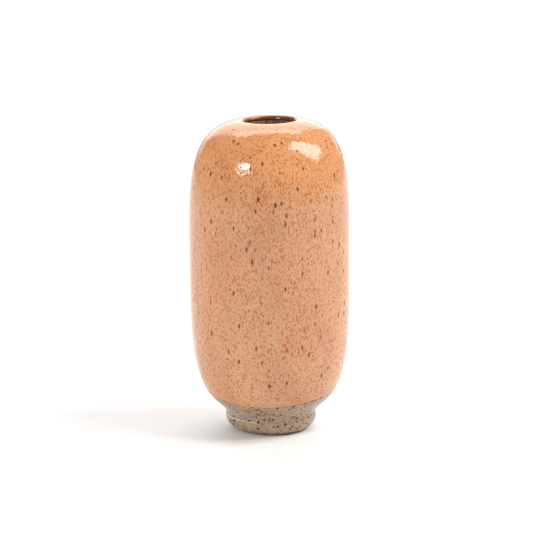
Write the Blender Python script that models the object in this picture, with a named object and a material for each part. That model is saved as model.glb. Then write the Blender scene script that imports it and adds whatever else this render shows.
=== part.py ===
"""Stoneware bud vase: a thrown body luted onto a turned foot ring, and its three coats of glaze.

Units are metres and +Z is up. The origin is the middle of the face the vase stands on. Every
piece is turned about Z from an outline of (radius, height) points. The outlines all come from
one line, the outer face of the glazed vase, or lie a stated depth behind it.
"""

import math

import bmesh
import bpy

HEIGHT = 0.160
SEGMENTS = 40

# The body is widest a little above its middle. Above and below that it follows two quarters
# of a superellipse: the higher the power, the squarer the shoulder or the belly.
BODY_RADIUS = 0.0409
WIDEST_HEIGHT = 0.0963
SHOULDER_PEAK = HEIGHT + 0.0005
SHOULDER_POWER = 3.6
BELLY_BOTTOM = 0.0100
BELLY_POWER = 4.15

MOUTH_RADIUS = 0.0129
LIP_ROUND = 0.0021

# The foot: a cove under the belly, a soft ridge, and a well rounded lower edge.
COVE_RADIUS = 0.0286
COVE_WAIST = (0.0227, 0.0100)
RIDGE_RADIUS = 0.0232
RIDGE_HEIGHT = 0.0066
RESTING_RADIUS = 0.0154
RECESS_RADIUS = 0.0115
RECESS_DRAFT = 0.0008
RECESS_EDGE = 0.0008

# Layers, from the outer face inwards. Touching pieces keep a gap.
GAP = 0.0003
GLAZE_THICKNESS = 0.0006
CLAY_THICKNESS = 0.0042
CLAY_DEPTH = GLAZE_THICKNESS + GAP
INNER_CLAY_DEPTH = CLAY_DEPTH + CLAY_THICKNESS
LINER_DEPTH = INNER_CLAY_DEPTH + GAP
INNER_FACE_DEPTH = LINER_DEPTH + GLAZE_THICKNESS

GLAZE_LINE_HEIGHT = 0.0182
COAT_REACH_INSIDE = 0.0024
CLEAR_GLAZE_END = 0.0010
SEAM_HEIGHT = 0.0115

LIP_STEPS = 3
SHOULDER_STEPS = 7
BELLY_STEPS = 6
UNDERSIDE_STEPS = 2
COVE_STEPS = 4
FOOT_EDGE_STEPS = 5
RECESS_EDGE_STEPS = 2
SHARP_ANGLE = 50

PEACH = (0.80, 0.37, 0.19)
CLAY_GREY = (0.40, 0.33, 0.25)
BARE_CLAY = (0.47, 0.38, 0.28)
INSIDE_BROWN = (0.30, 0.15, 0.08)


def clear_scene():
    for old in list(bpy.data.objects):
        bpy.data.objects.remove(old, do_unlink=True)


def body_point(angle):
    """A point of the body's outer face: 0 is the widest place, +90 degrees the peak, -90 the bottom."""
    if angle >= 0:
        power = 2 / SHOULDER_POWER
        reach = SHOULDER_PEAK - WIDEST_HEIGHT
    else:
        power = 2 / BELLY_POWER
        reach = BELLY_BOTTOM - WIDEST_HEIGHT
    across = math.cos(angle) if abs(angle) < math.pi / 2 else 0.0
    return BODY_RADIUS * across**power, WIDEST_HEIGHT + reach * abs(math.sin(angle)) ** power


def shoulder_angle(radius):
    return math.acos((radius / BODY_RADIUS) ** (SHOULDER_POWER / 2))


def belly_angle(radius):
    return -math.acos((radius / BODY_RADIUS) ** (BELLY_POWER / 2))


def belly_angle_at(height):
    share = (WIDEST_HEIGHT - height) / (WIDEST_HEIGHT - BELLY_BOTTOM)
    return -math.asin(share ** (BELLY_POWER / 2))


def body_line(first, last, steps):
    return [body_point(first + (last - first) * i / steps) for i in range(steps + 1)]


def arc_line(centre, radii, first, last, steps):
    """Points on an ellipse's arc, from one angle in degrees to another, 0 pointing outwards."""
    points = []
    for i in range(steps + 1):
        angle = math.radians(first + (last - first) * i / steps)
        points.append((centre[0] + radii[0] * math.cos(angle), centre[1] + radii[1] * math.sin(angle)))
    return points


def curve_line(start, pull, end, steps):
    """Points on a curve from start to end that leans towards the point pull."""
    points = []
    for i in range(steps + 1):
        t = i / steps
        weights = ((1 - t) ** 2, 2 * t * (1 - t), t**2)
        points.append(tuple(sum(w * p[k] for w, p in zip(weights, (start, pull, end))) for k in (0, 1)))
    return points


def set_in(line, depth):
    """A falling line moved in behind the outer face by a depth, its chords kept parallel."""
    normals = []
    for (r0, z0), (r1, z1) in zip(line, line[1:]):
        length = math.hypot(r1 - r0, z1 - z0)
        normals.append(((z1 - z0) / length, (r0 - r1) / length))
    ends_on_axis = line[-1][0] == 0
    last = (-normals[-1][0], normals[-1][1]) if ends_on_axis else normals[-1]
    moved = []
    for point, before, after in zip(line, normals[:1] + normals, normals + [last]):
        middle = [(before[k] + after[k]) / 2 for k in (0, 1)]
        reach = depth / (middle[0] ** 2 + middle[1] ** 2)
        moved.append((point[0] + middle[0] * reach, point[1] + middle[1] * reach))
    return moved


def mouth_line(bottom):
    """Up the mouth's wall from a height and round the lip to its highest point."""
    centre = (MOUTH_RADIUS + LIP_ROUND, HEIGHT - LIP_ROUND)
    return [(MOUTH_RADIUS, bottom)] + arc_line(centre, (LIP_ROUND, LIP_ROUND), 180, 90, LIP_STEPS)


def coated_line():
    """From the lip down the shoulder and the belly to the line where the coloured glaze ends."""
    shoulder = body_line(shoulder_angle(MOUTH_RADIUS + LIP_ROUND), 0, SHOULDER_STEPS)
    return shoulder + body_line(0, belly_angle_at(GLAZE_LINE_HEIGHT), BELLY_STEPS)[1:]


def underside_line(top):
    """The belly's underside from a height down, the cove and the foot's wall, to the floor."""
    cove_angle = belly_angle(COVE_RADIUS)
    underside = body_line(belly_angle_at(top), cove_angle, UNDERSIDE_STEPS)
    cove = curve_line(underside[-1], COVE_WAIST, (RIDGE_RADIUS, RIDGE_HEIGHT), COVE_STEPS)
    radii = (RIDGE_RADIUS - RESTING_RADIUS, RIDGE_HEIGHT)
    edge = arc_line((RESTING_RADIUS, RIDGE_HEIGHT), radii, 0, -90, FOOT_EDGE_STEPS)
    return underside + cove[1:] + edge[1:]


def cut_line(line, height, keep_above):
    """The part of a falling line above or below a height, with a point set on the height."""
    for i in range(len(line) - 1):
        (r0, z0), (r1, z1) = line[i], line[i + 1]
        if z0 >= height > z1:
            crossing = (r0 + (r1 - r0) * (z0 - height) / (z0 - z1), height)
            return line[: i + 1] + [crossing] if keep_above else [crossing] + line[i + 1 :]
    return line


def inside_line(depth):
    """The cavity's face at a depth behind the outer face, from beside the mouth to the floor's middle."""
    line = body_line(shoulder_angle(MOUTH_RADIUS + LIP_ROUND), 0, SHOULDER_STEPS)
    line += body_line(0, math.radians(-90), BELLY_STEPS + 2)[1:]
    return set_in(line, depth)


def material(name, colour, roughness):
    made = bpy.data.materials.new(name)
    made.use_nodes = True
    shader = made.node_tree.nodes["Principled BSDF"]
    shader.inputs["Base Color"].default_value = (*colour, 1.0)
    shader.inputs["Roughness"].default_value = roughness
    shader.inputs["Metallic"].default_value = 0.0
    return made


def turned(name, outline, finish):
    """A solid: the outline is closed, or runs from axis to axis, and is spun once round Z."""
    shape = bmesh.new()
    corners = [shape.verts.new((radius, 0.0, height)) for radius, height in outline]
    for start, end in zip(corners, corners[1:] + corners[:1]):
        if start.co.x > 0 or end.co.x > 0:
            shape.edges.new((start, end))
    bmesh.ops.spin(
        shape,
        geom=list(shape.verts) + list(shape.edges),
        cent=(0, 0, 0),
        axis=(0, 0, 1),
        angle=math.tau,
        steps=SEGMENTS,
        use_merge=True,
    )
    bmesh.ops.remove_doubles(shape, verts=shape.verts, dist=1e-6)
    bmesh.ops.recalc_face_normals(shape, faces=shape.faces)
    mesh = bpy.data.meshes.new(name)
    shape.to_mesh(mesh)
    shape.free()
    mesh.shade_smooth()
    mesh.set_sharp_from_angle(angle=math.radians(SHARP_ANGLE))
    mesh.materials.append(finish)
    piece = bpy.data.objects.new(name, mesh)
    bpy.context.collection.objects.link(piece)
    return piece


def stoneware_body():
    """The thrown pot: its wall, shoulder and lip, and a flat base at the seam with the foot."""
    inner = inside_line(INNER_CLAY_DEPTH)
    line = mouth_line(bottom=inner[0][1]) + coated_line()[1:]
    line += underside_line(GLAZE_LINE_HEIGHT)[1:]
    outer = cut_line(set_in(line, CLAY_DEPTH), SEAM_HEIGHT, keep_above=True)
    base_middle = (0.0, SEAM_HEIGHT)
    finish = material("stoneware", CLAY_GREY, 0.7)
    turned("stoneware_body", outer + [base_middle] + inner[::-1], finish)


def foot_ring():
    """The turned ring under the body. Its lower edge and the face it stands on are bare clay."""
    line = underside_line(GLAZE_LINE_HEIGHT)
    bare_from = CLEAR_GLAZE_END - GAP
    glazed = set_in(cut_line(line, bare_from, keep_above=True), CLAY_DEPTH)
    glazed = cut_line(glazed, SEAM_HEIGHT - GAP, keep_above=False)
    bare = cut_line(line, bare_from, keep_above=False)
    edge_centre = (RECESS_RADIUS + RECESS_EDGE, RECESS_EDGE)
    inner_edge = arc_line(edge_centre, (RECESS_EDGE, RECESS_EDGE), 270, 180, RECESS_EDGE_STEPS)
    top = (RECESS_RADIUS - RECESS_DRAFT, SEAM_HEIGHT - GAP)
    finish = material("bare_clay", BARE_CLAY, 0.85)
    turned("foot_ring", glazed + bare + inner_edge + [top], finish)


def peach_glaze_coat():
    """The coloured glaze, from just inside the mouth down to the line it was dipped to."""
    line = mouth_line(HEIGHT - COAT_REACH_INSIDE) + coated_line()[1:]
    back = set_in(line, GLAZE_THICKNESS)
    turned("peach_glaze_coat", line + back[::-1], material("peach_glaze", PEACH, 0.2))


def clear_foot_glaze():
    """The clear glaze on the belly's underside, the cove and the foot, wiped off above the floor."""
    line = underside_line(GLAZE_LINE_HEIGHT - GAP)
    line = cut_line(line, CLEAR_GLAZE_END, keep_above=True)
    back = set_in(line, GLAZE_THICKNESS)
    turned("clear_foot_glaze", line + back[::-1], material("clear_glaze", CLAY_GREY, 0.15))


def liner_glaze():
    """The glaze poured inside: floor, wall and shoulder, and up the mouth to meet the coat."""
    top = HEIGHT - COAT_REACH_INSIDE - GAP
    faces = []
    for depth, mouth in ((LINER_DEPTH, MOUTH_RADIUS + GLAZE_THICKNESS), (INNER_FACE_DEPTH, MOUTH_RADIUS)):
        line = inside_line(depth)
        faces.append([(mouth, top), (mouth, line[0][1])] + line)
    clay_side, open_side = faces
    turned("liner_glaze", clay_side + open_side[::-1], material("liner", INSIDE_BROWN, 0.25))


clear_scene()
stoneware_body()
foot_ring()
peach_glaze_coat()
clear_foot_glaze()
liner_glaze()
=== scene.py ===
import math

import bpy
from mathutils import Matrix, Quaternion, Vector


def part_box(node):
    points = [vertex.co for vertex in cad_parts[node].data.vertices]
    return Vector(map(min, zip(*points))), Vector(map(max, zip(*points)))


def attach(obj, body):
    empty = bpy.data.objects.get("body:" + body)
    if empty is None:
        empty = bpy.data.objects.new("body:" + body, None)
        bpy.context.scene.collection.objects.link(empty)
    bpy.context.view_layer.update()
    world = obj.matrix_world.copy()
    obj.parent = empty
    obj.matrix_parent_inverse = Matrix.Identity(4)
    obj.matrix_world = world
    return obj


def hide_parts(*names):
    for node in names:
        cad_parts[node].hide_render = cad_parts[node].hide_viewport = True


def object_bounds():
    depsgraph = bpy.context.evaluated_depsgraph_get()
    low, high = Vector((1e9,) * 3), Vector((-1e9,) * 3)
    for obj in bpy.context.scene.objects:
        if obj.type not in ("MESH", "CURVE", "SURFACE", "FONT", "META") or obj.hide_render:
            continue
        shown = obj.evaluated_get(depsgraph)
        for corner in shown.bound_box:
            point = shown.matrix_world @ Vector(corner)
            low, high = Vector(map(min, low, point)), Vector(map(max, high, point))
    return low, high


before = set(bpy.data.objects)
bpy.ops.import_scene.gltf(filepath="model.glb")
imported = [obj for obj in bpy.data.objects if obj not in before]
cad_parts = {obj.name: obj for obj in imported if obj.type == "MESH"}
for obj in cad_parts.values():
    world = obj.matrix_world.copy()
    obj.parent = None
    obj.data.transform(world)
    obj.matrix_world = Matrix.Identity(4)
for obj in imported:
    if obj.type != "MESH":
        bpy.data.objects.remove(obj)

cad_low, cad_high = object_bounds()
mm = 0.001

# THE THROWN BODY
# One pot of iron-bearing stoneware, pulled up on the wheel and closed in to a narrow mouth.
# Its outer face follows two quarters of a superellipse, and every other layer lies a little
# behind that face. It shows only inside the foot, where its flat base is left bare.
coat_low, coat_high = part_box("peach_glaze_coat")
lip_height = coat_high.z
widest_radius = coat_high.x
widest_height = 96.3 * mm
shoulder_peak = lip_height + 0.5 * mm
shoulder_power = 3.6
belly_bottom = 10.0 * mm
belly_power = 4.15
mouth_radius = 12.9 * mm
lip_round = 2.1 * mm
glaze_thickness = 0.6 * mm
clay_depth = 0.9 * mm
inner_clay_depth = 5.1 * mm
glaze_line = coat_low.z
seam_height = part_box("stoneware_body")[0].z
throwing_line_gap = 7.5 * mm
throwing_line_depth = 0.035 * mm
piece_gap = 0.3 * mm
ring_gap = 2.4 * mm
ring_corners = 120
hidden_corners = 96


def wall_radius(height):
    """How far the glazed face stands from the axis at a height of the body."""
    if height > widest_height:
        share, power = (height - widest_height) / (shoulder_peak - widest_height), shoulder_power
    else:
        share, power = (widest_height - height) / (widest_height - belly_bottom), belly_power
    return widest_radius * (1 - share**power) ** (1 / power)


def wall_height(radius, shoulder):
    """The height at which the shoulder, or else the belly, has a radius."""
    if shoulder:
        reach, power = shoulder_peak - widest_height, shoulder_power
    else:
        reach, power = belly_bottom - widest_height, belly_power
    return widest_height + reach * (1 - (radius / widest_radius) ** power) ** (1 / power)


def wall_line(first, last, steps=160):
    """Points down the face, from one (radius, height) to another, close together on the turns."""
    line = []
    turns = []
    for radius, height in (first, last):
        share = (radius / widest_radius) ** (shoulder_power / 2)
        turns.append(math.copysign(math.acos(min(share, 1)), height - widest_height))
    for step in range(steps + 1):
        turn = turns[0] + (turns[1] - turns[0]) * step / steps
        radius = widest_radius * abs(math.cos(turn)) ** (2 / shoulder_power)
        line.append((radius, wall_height(min(radius, widest_radius), turn > 0)))
    return line


def spaced(line, gap):
    """The same line with its points an even gap apart."""
    runs = [math.dist(a, b) for a, b in zip(line, line[1:])]
    count = max(1, round(sum(runs) / gap))
    points = [line[0]]
    travelled, target = 0.0, sum(runs) / count
    for run, a, b in zip(runs, line, line[1:]):
        while len(points) < count and travelled + run >= len(points) * target:
            share = (len(points) * target - travelled) / run
            points.append((a[0] + (b[0] - a[0]) * share, a[1] + (b[1] - a[1]) * share))
        travelled += run
    return points + [line[-1]]


def arc(centre, across, up, first, last, steps):
    """Points round part of an ellipse, in degrees, 0 pointing away from the axis."""
    turns = [math.radians(first + (last - first) * step / steps) for step in range(steps + 1)]
    return [(centre[0] + across * math.cos(t), centre[1] + up * math.sin(t)) for t in turns]


def behind(line, depth):
    """A falling line moved in behind the face by a depth, into the wall."""
    normals = []
    for (r0, z0), (r1, z1) in zip(line, line[1:]):
        run = math.hypot(r1 - r0, z1 - z0)
        normals.append(((z1 - z0) / run, (r0 - r1) / run))
    moved = []
    for (radius, height), a, b in zip(line, normals[:1] + normals, normals + normals[-1:]):
        middle = ((a[0] + b[0]) / 2, (a[1] + b[1]) / 2)
        reach = depth / (middle[0] ** 2 + middle[1] ** 2)
        moved.append((radius + middle[0] * reach, height + middle[1] * reach))
    return moved


def thrown_wall(lowest):
    """From beside the lip down to a height, with the faint lines that throwing leaves."""
    top = mouth_radius + lip_round
    line = wall_line((top, wall_height(top, True)), (wall_radius(lowest), lowest))
    wavy = []
    for radius, height in spaced(line, ring_gap):
        wave = math.sin(math.tau * height / throwing_line_gap)
        wavy.append((radius + throwing_line_depth * wave * (height - lowest) / lip_height, height))
    return wavy


def lip(bottom):
    """Up the mouth's wall from a height and round the lip to its highest point."""
    centre = (mouth_radius + lip_round, lip_height - lip_round)
    rounded = arc(centre, lip_round, lip_round, first=180, last=96, steps=6)
    return [(mouth_radius, bottom)] + rounded


def throw(name, outline, hollow_ring, corners=ring_corners):
    """Pulls a ring of clay up through an outline of (radius, height) points, ring by ring."""
    bpy.ops.object.select_all(action="DESELECT")
    first_radius, first_height = outline[0]
    bpy.ops.mesh.primitive_circle_add(
        vertices=corners, radius=first_radius, location=(0, 0, first_height)
    )
    bpy.ops.object.transform_apply(location=True)
    piece = bpy.context.object
    piece.name = name
    bpy.ops.object.mode_set(mode="EDIT")
    for (r0, z0), (r1, z1) in zip(outline, outline[1:]):
        bpy.ops.mesh.extrude_region_move(TRANSFORM_OT_translate={"value": (0, 0, z1 - z0)})
        bpy.ops.transform.resize(value=(r1 / r0, r1 / r0, 1), center_override=(0, 0, z1))
    bpy.ops.mesh.select_all(action="DESELECT")
    bpy.ops.mesh.select_non_manifold(extend=False, use_wire=False, use_multi_face=False)
    if hollow_ring:
        bpy.ops.mesh.bridge_edge_loops()
    else:
        bpy.ops.mesh.fill_holes(sides=0)
        bpy.ops.mesh.poke()
    bpy.ops.mesh.select_all(action="SELECT")
    bpy.ops.mesh.normals_make_consistent(inside=False)
    bpy.ops.object.mode_set(mode="OBJECT")
    bpy.ops.object.shade_smooth()
    return piece


# No thrown pot is quite true: this one leans a few tenths of a millimetre to the left above its
# middle, is a little out of round, and its mouth dips to the left. One bench cage carries that
# to every layer alike.
lean = (0.7 * mm, 0.1 * mm, -0.15 * mm, -0.5 * mm, -0.25 * mm)
mouth_dip = 0.022
out_of_round = 0.12 * mm
bpy.ops.object.select_all(action="DESELECT")
bpy.ops.object.add(type="LATTICE", location=(cad_low + cad_high) / 2)
bench_cage = bpy.context.object
bench_cage.name = "bench_cage"
bench_cage.scale = cad_high - cad_low
cage = bench_cage.data
cage.points_u = cage.points_v = 3
cage.points_w = len(lean)
points_a_level = cage.points_u * cage.points_v
for number, point in enumerate(cage.points):
    level = number // points_a_level
    place = Vector(point.co)
    place.x += (lean[level] + out_of_round * place.x * (level > 0)) / bench_cage.scale.x
    place.y -= out_of_round * place.y * (level > 0) / bench_cage.scale.y
    if level == len(lean) - 1:
        place.z += mouth_dip * point.co.x * bench_cage.scale.x / bench_cage.scale.z
    point.co_deform = place


def finish_by_hand(piece):
    """Smooths a piece between its rings, and gives it the pot's own lean."""
    bpy.context.view_layer.objects.active = piece
    smooth = piece.modifiers.new("smooth", "SUBSURF")
    smooth.levels = smooth.render_levels = 1
    bpy.ops.object.modifier_apply(modifier=smooth.name)
    wobble = piece.modifiers.new("wobble", "LATTICE")
    wobble.object = bench_cage
    bpy.ops.object.modifier_apply(modifier=wobble.name)


cove_radius = 28.6 * mm
cove_waist = (22.7 * mm, 10.0 * mm)
tool_line = [(23.15, 8.7), (23.18, 8.3), (23.38, 7.9), (23.4, 7.5), (23.4, 7.0)]
ridge_height = 6.6 * mm
ridge_radius = 23.4 * mm
resting_radius = 15.4 * mm
cove_steps = 8


def foot_line(top):
    """The belly's underside, the cove, the tool line left by turning, and the rounded lower edge."""
    start = (cove_radius, wall_height(cove_radius, False))
    under = wall_line((wall_radius(top), top), start, steps=12)
    end = (tool_line[0][0] * mm, tool_line[0][1] * mm)
    cove = []
    for step in range(1, cove_steps):
        t = step / cove_steps
        weights = ((1 - t) ** 2, 2 * t * (1 - t), t**2)
        pulls = (start, cove_waist, end)
        cove.append(tuple(sum(w * pull[k] for w, pull in zip(weights, pulls)) for k in (0, 1)))
    turned = [(radius * mm, height * mm) for radius, height in tool_line]
    edge_width = ridge_radius - resting_radius
    edge = arc((resting_radius, ridge_height), edge_width, ridge_height, first=0, last=-90, steps=12)
    return under + cove + turned + edge


clear_of_cut = 0.05 * mm


def cut(line, height, above):
    """The part of a falling line above or below a height."""
    for (r0, z0), (r1, z1) in zip(line, line[1:]):
        if z0 >= height > z1:
            crossing = (r0 + (r1 - r0) * (z0 - height) / (z0 - z1), height)
            if above:
                return [point for point in line if point[1] > height + clear_of_cut] + [crossing]
            return [crossing] + [point for point in line if point[1] < height - clear_of_cut]
    return line


def cavity(depth):
    """The inside face at a depth behind the outer one, from beside the mouth to the floor's middle."""
    top = mouth_radius + lip_round
    floor_radius = 3 * mm
    first = (top, wall_height(top, True))
    last = (floor_radius, wall_height(floor_radius, False))
    return spaced(behind(wall_line(first, last), depth), ring_gap)


inner_face = cavity(inner_clay_depth)
outer_face = lip(inner_face[0][1]) + thrown_wall(glaze_line)[1:] + foot_line(glaze_line)[1:]
clay_face = cut(behind(outer_face, clay_depth), seam_height, above=True)
base = [(clay_face[-1][0] * share, seam_height) for share in (0.98, 0.75, 0.45, 0.15)]
clay_outline = inner_face[::-1] + clay_face + base
clay_body = throw("thrown_clay_body", clay_outline, hollow_ring=False, corners=hidden_corners)
finish_by_hand(clay_body)


def start_finish(name, roughness):
    """A finish with its shader, and where on the pot it is being painted."""
    made = bpy.data.materials.new(name)
    made.use_nodes = True
    tree = made.node_tree
    shader = tree.nodes["Principled BSDF"]
    shader.inputs["Roughness"].default_value = roughness
    place = tree.nodes.new("ShaderNodeTexCoord").outputs["Object"]
    return made, tree, shader, place


def stretched(tree, place, upright):
    """The pot's coordinates squeezed upright, so that a pattern on them runs down the wall."""
    mapping = tree.nodes.new("ShaderNodeMapping")
    mapping.inputs["Scale"].default_value = (1, 1, upright)
    tree.links.new(place, mapping.inputs["Vector"])
    return mapping.outputs["Vector"]


def height_of(tree, place):
    """How high above the table a place on the pot is."""
    parts = tree.nodes.new("ShaderNodeSeparateXYZ")
    tree.links.new(place, parts.inputs["Vector"])
    return parts.outputs["Z"]


def sum_of(tree, kind, first, second):
    """A sum of one kind on two values, each a number or another pattern."""
    node = tree.nodes.new("ShaderNodeMath")
    node.operation = kind
    for socket, value in zip(node.inputs, (first, second)):
        if isinstance(value, (int, float)):
            socket.default_value = value
        else:
            tree.links.new(value, socket)
    return node.outputs["Value"]


def ramp(tree, value, start, end, low=0.0, high=1.0):
    """A soft step from low to high as a value goes from start to end."""
    node = tree.nodes.new("ShaderNodeMapRange")
    node.interpolation_type = "SMOOTHSTEP"
    tree.links.new(value, node.inputs["Value"])
    for name, setting in (("From Min", start), ("From Max", end), ("To Min", low), ("To Max", high)):
        if isinstance(setting, (int, float)):
            node.inputs[name].default_value = setting
        else:
            tree.links.new(setting, node.inputs[name])
    return node.outputs["Result"]


def clouds(tree, place, size, detail=2.0):
    """Soft uneven patches of about a size."""
    node = tree.nodes.new("ShaderNodeTexNoise")
    node.inputs["Scale"].default_value = 1 / size
    node.inputs["Detail"].default_value = detail
    tree.links.new(place, node.inputs["Vector"])
    return node.outputs["Fac"]


def spots(tree, place, spacing, smallest, largest, share, soft=0.5):
    """Round spots from a smallest to a largest radius; share of the places in a spacing have one."""
    cells = tree.nodes.new("ShaderNodeTexVoronoi")
    cells.inputs["Scale"].default_value = 1 / spacing
    tree.links.new(place, cells.inputs["Vector"])
    chance = tree.nodes.new("ShaderNodeSeparateColor")
    tree.links.new(cells.outputs["Color"], chance.inputs["Color"])
    radius = ramp(tree, chance.outputs["Red"], 0.0, 1.0, smallest / spacing, largest / spacing)
    core = sum_of(tree, "MULTIPLY", radius, 1 - soft)
    spot = ramp(tree, cells.outputs["Distance"], core, radius, 1.0, 0.0)
    here = sum_of(tree, "LESS_THAN", chance.outputs["Green"], share)
    return sum_of(tree, "MULTIPLY", spot, here)


def tinted(tree, share, first, second):
    """A colour that goes from the first to the second as share goes from 0 to 1."""
    node = tree.nodes.new("ShaderNodeMix")
    node.data_type = "RGBA"
    factor, low, high = node.inputs[0], node.inputs[6], node.inputs[7]
    if isinstance(share, (int, float)):
        factor.default_value = share
    else:
        tree.links.new(share, factor)
    for socket, colour in ((low, first), (high, second)):
        if isinstance(colour, tuple):
            socket.default_value = (*colour, 1)
        else:
            tree.links.new(colour, socket)
    return node.outputs[2]


def raised(tree, height, distance, under=None):
    """A surface relief of a height pattern, a real distance high, on top of another relief."""
    node = tree.nodes.new("ShaderNodeBump")
    node.inputs["Distance"].default_value = distance
    tree.links.new(height, node.inputs["Height"])
    if under:
        tree.links.new(under, node.inputs["Normal"])
    return node.outputs["Normal"]


clay_grey = (0.475, 0.332, 0.214)
clay_sand = (0.275, 0.184, 0.112)
clay_pale = (0.40, 0.29, 0.19)
iron_black = (0.045, 0.020, 0.009)
iron_brown = (0.09, 0.045, 0.022)


def speckled_clay(tree, place):
    """Grey-beige clay with iron spots, and where the spots lie."""
    grain = clouds(tree, place, 0.9 * mm, 3.0)
    ground = tinted(tree, ramp(tree, grain, 0.35, 0.7), clay_sand, clay_grey)
    patch = ramp(tree, clouds(tree, place, 7 * mm), 0.45, 0.75, 0.0, 0.6)
    ground = tinted(tree, patch, ground, clay_pale)
    small = spots(tree, place, spacing=1.5 * mm, smallest=0.2 * mm, largest=0.5 * mm, share=0.35)
    large = spots(
        tree, place, spacing=2.0 * mm, smallest=0.4 * mm, largest=1.1 * mm, share=0.9, soft=0.6
    )
    ground = tinted(tree, sum_of(tree, "MULTIPLY", small, 0.75), ground, iron_brown)
    return tinted(tree, large, ground, iron_black), grain, large


def bare_clay_finish():
    """Fired clay that no glaze covers: dry, with grit and fine turning lines."""
    made, tree, shader, place = start_finish("bare_clay", 0.85)
    colour, grain, iron = speckled_clay(tree, place)
    tree.links.new(colour, shader.inputs["Base Color"])
    tree.links.new(ramp(tree, grain, 0.3, 0.7, 0.72, 0.95), shader.inputs["Roughness"])
    turning = clouds(tree, stretched(tree, place, 14), 4 * mm, 1.0)
    relief = raised(tree, turning, 0.05 * mm)
    relief = raised(tree, grain, 0.06 * mm, relief)
    tree.links.new(raised(tree, iron, 0.05 * mm, relief), shader.inputs["Normal"])
    return made


bare_clay = bare_clay_finish()
clay_body.data.materials.append(bare_clay)
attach(clay_body, "root")
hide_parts("stoneware_body")

# THE FOOT RING
# A thick ring of the same clay, joined under the body with slip and turned on the wheel. Its
# lower edge is well rounded, and both that edge and the flat it stands on are wiped bare.
recess_radius = 11.5 * mm
recess_draft = 0.8 * mm
inner_edge_round = 0.8 * mm
clear_glaze_end = 1.0 * mm
bare_from = clear_glaze_end - piece_gap
foot_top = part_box("foot_ring")[1].z
whole_foot = foot_line(glaze_line)
glazed_part = behind(cut(whole_foot, bare_from, above=True), clay_depth)
glazed_part = cut(glazed_part, foot_top, above=False)
bare_part = cut(whole_foot, bare_from, above=False)
resting_face = [(15.0 * mm, 0.0), (13.2 * mm, 0.0)]
edge_centre = (recess_radius + inner_edge_round, inner_edge_round)
inner_edge = arc(edge_centre, inner_edge_round, inner_edge_round, first=270, last=180, steps=4)
up_the_recess = (0.25, 0.6, 0.97, 1.0)
recess_wall = [(recess_radius - recess_draft * share, foot_top * share) for share in up_the_recess]
ring_top = [(radius * mm, foot_top) for radius in (11.2, 16.0, 21.5)]
foot_outline = glazed_part + bare_part + resting_face + inner_edge + recess_wall + ring_top
clay_foot = throw("turned_foot_ring", foot_outline, hollow_ring=True)
finish_by_hand(clay_foot)
clay_foot.data.materials.append(bare_clay)
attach(clay_foot, "root")
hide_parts("foot_ring")

# THE LINER GLAZE
# Poured in, swilled round and poured out again, so the inside is covered up to the mouth. It
# fires to a streaky brown over the iron-bearing clay.
liner_depth = inner_clay_depth + piece_gap
liner_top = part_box("liner_glaze")[1].z
liner_mouth = mouth_radius + glaze_thickness
clay_side = cavity(liner_depth)
open_side = cavity(liner_depth + glaze_thickness)
up_the_throat = (0.0, 0.5, 0.97)


def throat(radius, start):
    """Straight up the mouth's wall, from where the shoulder's inside ends to the liner's top."""
    return [(radius, start + (liner_top - start) * share) for share in up_the_throat]


closing = [(mouth_radius + glaze_thickness / 2, liner_top)]
clay_side = clay_side[::-1] + throat(liner_mouth, clay_side[0][1])
open_side = throat(mouth_radius, open_side[0][1])[::-1] + open_side
liner_outline = clay_side + closing + open_side
liner = throw("liner_glaze_skin", liner_outline, hollow_ring=False, corners=hidden_corners)
finish_by_hand(liner)

streak_dark = (0.09, 0.038, 0.016)
streak_brown = (0.36, 0.165, 0.072)
olive_patch = (0.14, 0.10, 0.045)


def brown_liner_finish():
    """Glossy brown glaze that ran down the wall in streaks."""
    made, tree, shader, place = start_finish("liner_brown", 0.2)
    runs = clouds(tree, stretched(tree, place, 0.22), 1.6 * mm, 3.0)
    colour = tinted(tree, ramp(tree, runs, 0.35, 0.65), streak_dark, streak_brown)
    patch = ramp(tree, clouds(tree, place, 3 * mm), 0.5, 0.7, 0.0, 0.7)
    colour = tinted(tree, patch, colour, olive_patch)
    iron = spots(tree, place, spacing=2.6 * mm, smallest=0.15 * mm, largest=0.45 * mm, share=0.6)
    colour = tinted(tree, iron, colour, iron_black)
    tree.links.new(colour, shader.inputs["Base Color"])
    tree.links.new(ramp(tree, runs, 0.3, 0.7, 0.15, 0.35), shader.inputs["Roughness"])
    tree.links.new(raised(tree, runs, 0.05 * mm), shader.inputs["Normal"])
    shader.inputs["Specular IOR Level"].default_value = 0.2
    return made


liner.data.materials.append(brown_liner_finish())
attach(liner, "root")
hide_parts("liner_glaze")

# THE PEACH GLAZE COAT
# The pot was held by its foot and dipped, so the coat runs over the lip and ends low on the
# belly in a slightly wavy line with a soft rolled edge. Iron from the clay bleeds through it.
coat_inside_end = lip_height - 2.4 * mm
rolled_edge = ((1.18, 0.05), (0.74, 0.10), (0.43, 0.09), (0.19, -0.01), (0.0, -0.3))
coat_wave_reach = 6 * mm


def line_wave(turn):
    """How much the glaze line rises above its mean height, going round from +X."""
    front = turn + math.pi / 2
    slow = 1.6 - 1.7 * math.cos(2 * front) + 0.9 * math.sin(front)
    quick = 0.10 * math.sin(5 * turn + 0.7) + 0.07 * math.sin(9 * turn + 2.1)
    quick += 0.04 * math.sin(17 * turn)
    return (slow + quick) * mm


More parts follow.
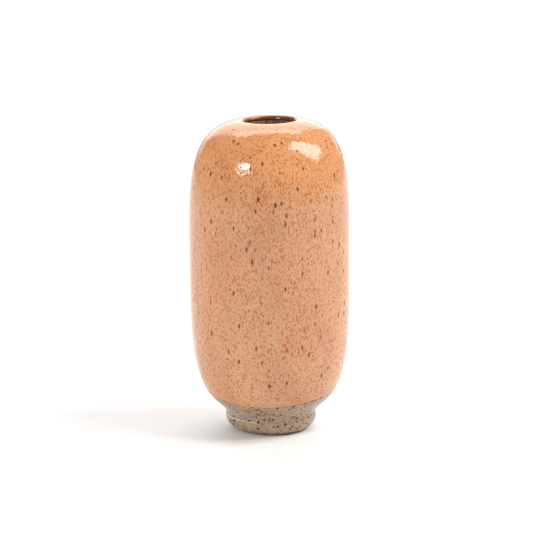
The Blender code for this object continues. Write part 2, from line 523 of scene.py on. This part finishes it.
def wave_edge(piece, edge, reach):
    """Slides a piece's rings along the wall, so that its edge follows the wavy line."""
    for vertex in piece.data.vertices:
        fade = 1 - abs(vertex.co.z - edge) / reach
        if fade <= 0 or vertex.co.z > widest_height:
            continue
        fade = fade * fade * (3 - 2 * fade)
        radius = math.hypot(vertex.co.x, vertex.co.y)
        moved = vertex.co.z + fade * line_wave(math.atan2(vertex.co.y, vertex.co.x))
        wider = 1 + (wall_radius(moved) - wall_radius(vertex.co.z)) / radius
        vertex.co = (vertex.co.x * wider, vertex.co.y * wider, moved)


coat_face = lip(coat_inside_end) + thrown_wall(glaze_line)[1:]
coat_back = behind(coat_face, glaze_thickness)
rolled = []
for above, proud in rolled_edge:
    height = glaze_line + above * mm
    slope = [(wall_radius(height + mm), height + mm), (wall_radius(height), height)]
    rolled.append(behind(slope, -proud * mm)[1])
coat = throw("peach_glaze", coat_face[:-1] + rolled + coat_back[::-1], hollow_ring=True)
wave_edge(coat, glaze_line, coat_wave_reach)
finish_by_hand(coat)

cream = (0.560, 0.267, 0.126)
low_cream = (0.595, 0.304, 0.152)
warm_peach = (0.685, 0.286, 0.103)
pale_fleck = (0.62, 0.362, 0.205)
orange_dot = (0.43, 0.083, 0.014)
rust = (0.33, 0.112, 0.050)
gold_edge = (0.53, 0.27, 0.115)
rust_halo = (0.27, 0.062, 0.010)
iron_core = (0.11, 0.028, 0.006)
lip_brown = (0.13, 0.052, 0.020)
shoulder_from = 118 * mm
shoulder_full = 147 * mm
golden_reach = 4.5 * mm


def peach_glaze_finish():
    """Opaque peach glaze with a dense orange mottle, iron spots that bled downwards, and gloss."""
    made, tree, shader, place = start_finish("peach_glaze", 0.1)
    height = height_of(tree, place)
    running = stretched(tree, place, 0.6)
    shoulder = ramp(tree, height, shoulder_from, shoulder_full)
    ground = tinted(tree, ramp(tree, height, 20 * mm, 85 * mm), low_cream, cream)
    ground = tinted(tree, shoulder, ground, warm_peach)
    grain = clouds(tree, running, 0.75 * mm, 2.0)
    pale = ramp(tree, grain, 0.48, 0.61, 0.0, 0.7)
    ground = tinted(tree, pale, ground, pale_fleck)
    patch = ramp(tree, clouds(tree, running, 16 * mm), 0.45, 0.75, 0.0, 0.2)
    ground = tinted(tree, patch, ground, rust)

    thick = ramp(tree, clouds(tree, place, 7 * mm), 0.3, 0.7, 0.6, 1.0)
    thinned = ramp(tree, height, shoulder_from, shoulder_full, 1.0, 0.85)
    thick = sum_of(tree, "MULTIPLY", thick, thinned)
    dots = spots(
        tree, running, spacing=0.95 * mm, smallest=0.32 * mm, largest=0.72 * mm, share=0.95, soft=0.75
    )
    dots = sum_of(tree, "MULTIPLY", dots, thick)
    colour = tinted(tree, dots, ground, orange_dot)

    edge = ramp(tree, height, glaze_line + 0.5 * mm, glaze_line + golden_reach, 0.6, 0.0)
    colour = tinted(tree, edge, colour, gold_edge)

    flow = stretched(tree, place, 0.48)
    small = spots(
        tree, flow, spacing=1.9 * mm, smallest=0.22 * mm, largest=0.46 * mm, share=0.6, soft=0.7
    )
    large = spots(
        tree, flow, spacing=2.9 * mm, smallest=0.4 * mm, largest=1.15 * mm, share=0.6, soft=0.85
    )
    colour = tinted(tree, sum_of(tree, "MULTIPLY", small, 0.9), colour, rust_halo)
    colour = tinted(tree, sum_of(tree, "MULTIPLY", large, 0.9), colour, rust_halo)
    colour = tinted(tree, ramp(tree, large, 0.4, 0.9), colour, iron_core)

    from_axis = tree.nodes.new("ShaderNodeVectorMath")
    from_axis.operation = "LENGTH"
    tree.links.new(stretched(tree, place, 0), from_axis.inputs[0])
    from_axis = from_axis.outputs["Value"]
    inside = ramp(tree, from_axis, mouth_radius + 0.4 * mm, mouth_radius + 0.9 * mm, 1.0, 0.0)
    colour = tinted(tree, inside, colour, lip_brown)
    tree.links.new(colour, shader.inputs["Base Color"])

    tree.links.new(ramp(tree, grain, 0.3, 0.7, 0.07, 0.14), shader.inputs["Roughness"])
    shader.inputs["IOR"].default_value = 1.48
    relief = raised(tree, clouds(tree, place, 4 * mm, 1.0), 0.13 * mm)
    relief = raised(tree, clouds(tree, place, 1.2 * mm, 1.0), 0.06 * mm, relief)
    tree.links.new(raised(tree, large, 0.03 * mm, relief), shader.inputs["Normal"])
    return made


coat.data.materials.append(peach_glaze_finish())
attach(coat, "root")
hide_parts("peach_glaze_coat")

# THE CLEAR GLAZE ON THE FOOT
# A thin clear coat over the belly's underside, the cove and the foot, wiped off just above the
# floor. Its skin carries the clay's own speckled colours, wetted darker, under a clear gloss.
clear_recess = 0.10 * mm
hair_gap = 0.06 * mm
clear_wave_reach = 2.6 * mm
clear_line = cut(foot_line(glaze_line - hair_gap), clear_glaze_end, above=True)
clear_face = behind(clear_line, clear_recess)
clear_back = behind(clear_line, glaze_thickness)
clear_coat = throw("clear_foot_glaze_skin", clear_face + clear_back[::-1], hollow_ring=True)
wave_edge(clear_coat, glaze_line, clear_wave_reach)
finish_by_hand(clear_coat)

# Painted light on the foot's front-left: a pale sheen colour and a bright line colour, standing for
# the reflection of the lights on the left.
painted_sheen_colour = (0.42, 0.37, 0.36)
painted_highlight_line = (0.74, 0.70, 0.66)
painted_highlight_line_height = 7.68 * mm


def clear_over_clay_finish():
    """Speckled clay seen through clear glaze, with a painted sheen over the cove and a painted
    highlight line below it on the front-left, standing for the reflection of the lights on the left.
    """
    made, tree, shader, place = start_finish("clear_glazed_clay_and_painted_sheen", 0.2)
    colour, grain, iron = speckled_clay(tree, place)
    parts = tree.nodes.new("ShaderNodeSeparateXYZ")
    tree.links.new(place, parts.inputs["Vector"])
    across, height = parts.outputs["X"], parts.outputs["Z"]
    # A painted sheen: a paler, streaky colour over the cove, only on the front-left, where the lights
    # on the left are reflected.
    front = ramp(tree, parts.outputs["Y"], -2 * mm, 2 * mm, 1.0, 0.0)
    side = sum_of(tree, "MULTIPLY", ramp(tree, across, -8.5 * mm, -6.6 * mm, 1.0, 0.0), front)
    lower = ramp(tree, height, 8.6 * mm, 9.2 * mm)
    upper = ramp(tree, height, 11.5 * mm, 14.5 * mm, 1.0, 0.0)
    streaks = ramp(tree, clouds(tree, stretched(tree, place, 1.6), 2.5 * mm), 0.33, 0.68, 0.1, 0.75)
    painted_sheen_mask = sum_of(tree, "MULTIPLY", sum_of(tree, "MULTIPLY", lower, upper), streaks)
    colour = tinted(tree, sum_of(tree, "MULTIPLY", painted_sheen_mask, side), colour, painted_sheen_colour)
    # A painted highlight: a thin bright line at the tool line on the front-left, brightest furthest
    # left, standing for the reflection of the lights on the left.
    painted_highlight_mask = sum_of(tree, "SUBTRACT", height, painted_highlight_line_height)
    painted_highlight_mask = ramp(tree, sum_of(tree, "ABSOLUTE", painted_highlight_mask, 0.0), 0.1 * mm, 0.3 * mm, 1.0, 0.0)
    strength = ramp(tree, across, -19.0 * mm, -8.0 * mm, 0.7, 0.4)
    painted_highlight_mask = sum_of(tree, "MULTIPLY", sum_of(tree, "MULTIPLY", painted_highlight_mask, strength), side)
    colour = tinted(tree, painted_highlight_mask, colour, painted_highlight_line)
    tree.links.new(colour, shader.inputs["Base Color"])
    tree.links.new(ramp(tree, grain, 0.3, 0.7, 0.16, 0.28), shader.inputs["Roughness"])
    shader.inputs["IOR"].default_value = 1.44
    relief = raised(tree, clouds(tree, place, 3 * mm, 1.0), 0.05 * mm)
    tree.links.new(raised(tree, iron, 0.02 * mm, relief), shader.inputs["Normal"])
    return made


clear_coat.data.materials.append(clear_over_clay_finish())
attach(clear_coat, "root")
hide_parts("clear_foot_glaze")
bpy.data.objects.remove(bench_cage)

# THE TABLE, THE LIGHT AND THE CAMERA
# A round white table in a white room. A wide softbox on the right, a small lamp in front on the
# left, softboxes above and behind, and low white screens on the left and at the back.
table_radius = 1.9
table_colour = (0.90, 0.895, 0.89)
bpy.ops.object.select_all(action="DESELECT")
bpy.ops.mesh.primitive_circle_add(
    vertices=96, radius=table_radius, fill_type="NGON", location=(0, 0, 0)
)
table = bpy.context.object
table.name = "white_table"
table_white = bpy.data.materials.new("table_white")
table_white.use_nodes = True
table_shader = table_white.node_tree.nodes["Principled BSDF"]
table_shader.inputs["Base Color"].default_value = (*table_colour, 1)
table_shader.inputs["Roughness"].default_value = 0.6
table.data.materials.append(table_white)

room = bpy.data.worlds.new("white_room")
room.use_nodes = True
room_tree = room.node_tree
backdrop = room_tree.nodes["Background"]
backdrop.inputs["Color"].default_value = (1, 1, 1, 1)
room_light = 0.36
backdrop_white = 1.1
seen = room_tree.nodes.new("ShaderNodeLightPath").outputs["Is Camera Ray"]
strength = ramp(room_tree, seen, 0.0, 1.0, room_light, backdrop_white)
room_tree.links.new(strength, backdrop.inputs["Strength"])
bpy.context.scene.world = room


aimed_at = Vector((0, 0, 0.1))


def softbox(name, round_from_front, above_level, distance, size, brightness, roll=0):
    """A rectangular light, placed by the direction it is seen in from the vase."""
    side, level = math.radians(round_from_front), math.radians(above_level)
    towards = Vector((math.sin(side), -math.cos(side), 0)) * math.cos(level)
    towards.z = math.sin(level)
    light = bpy.data.lights.new(name, "AREA")
    light.shape = "RECTANGLE"
    light.size, light.size_y = size
    light.energy = brightness * math.pi * size[0] * size[1]
    lamp = bpy.data.objects.new(name, light)
    bpy.context.scene.collection.objects.link(lamp)
    lamp.location = aimed_at + towards * distance
    facing = towards.to_track_quat("Z", "Y") @ Quaternion((0, 0, 1), math.radians(roll))
    lamp.rotation_euler = facing.to_euler()
    lamp.visible_camera = False
    return lamp


softbox("right_softbox", 82, 44.5, 2.6, (1.12, 2.0), 9.5, roll=28)
softbox("left_lamp", -41, 25.5, 1.8, (0.48, 0.25), 30.0)
left_screen = softbox("left_screen", -98, 9, 2.2, (3.0, 0.72), 1.8)
left_screen.visible_glossy = False
softbox("overhead_softbox", 186, 60, 2.2, (1.8, 0.62), 4.0)
softbox("rear_softbox", 186, 31, 2.2, (2.0, 1.65), 1.6)
softbox("back_screen", 180, 8, 2.4, (3.6, 0.62), 0.75)
rear_fill = softbox("rear_fill", 125, 42, 2.4, (1.5, 1.5), 0.3)
rear_fill.visible_glossy = False

camera_distance = 1.230
camera_height = 0.357
looking_down = 0.2197
long_lens = 164.9
camera = bpy.data.objects.new("camera", bpy.data.cameras.new("camera"))
bpy.context.scene.collection.objects.link(camera)
camera.location = (0, -camera_distance, camera_height)
camera.rotation_euler = (math.pi / 2 - looking_down, 0, 0)
camera.data.lens = long_lens
bpy.context.scene.camera = camera
bpy.context.scene.view_settings.view_transform = "Standard"
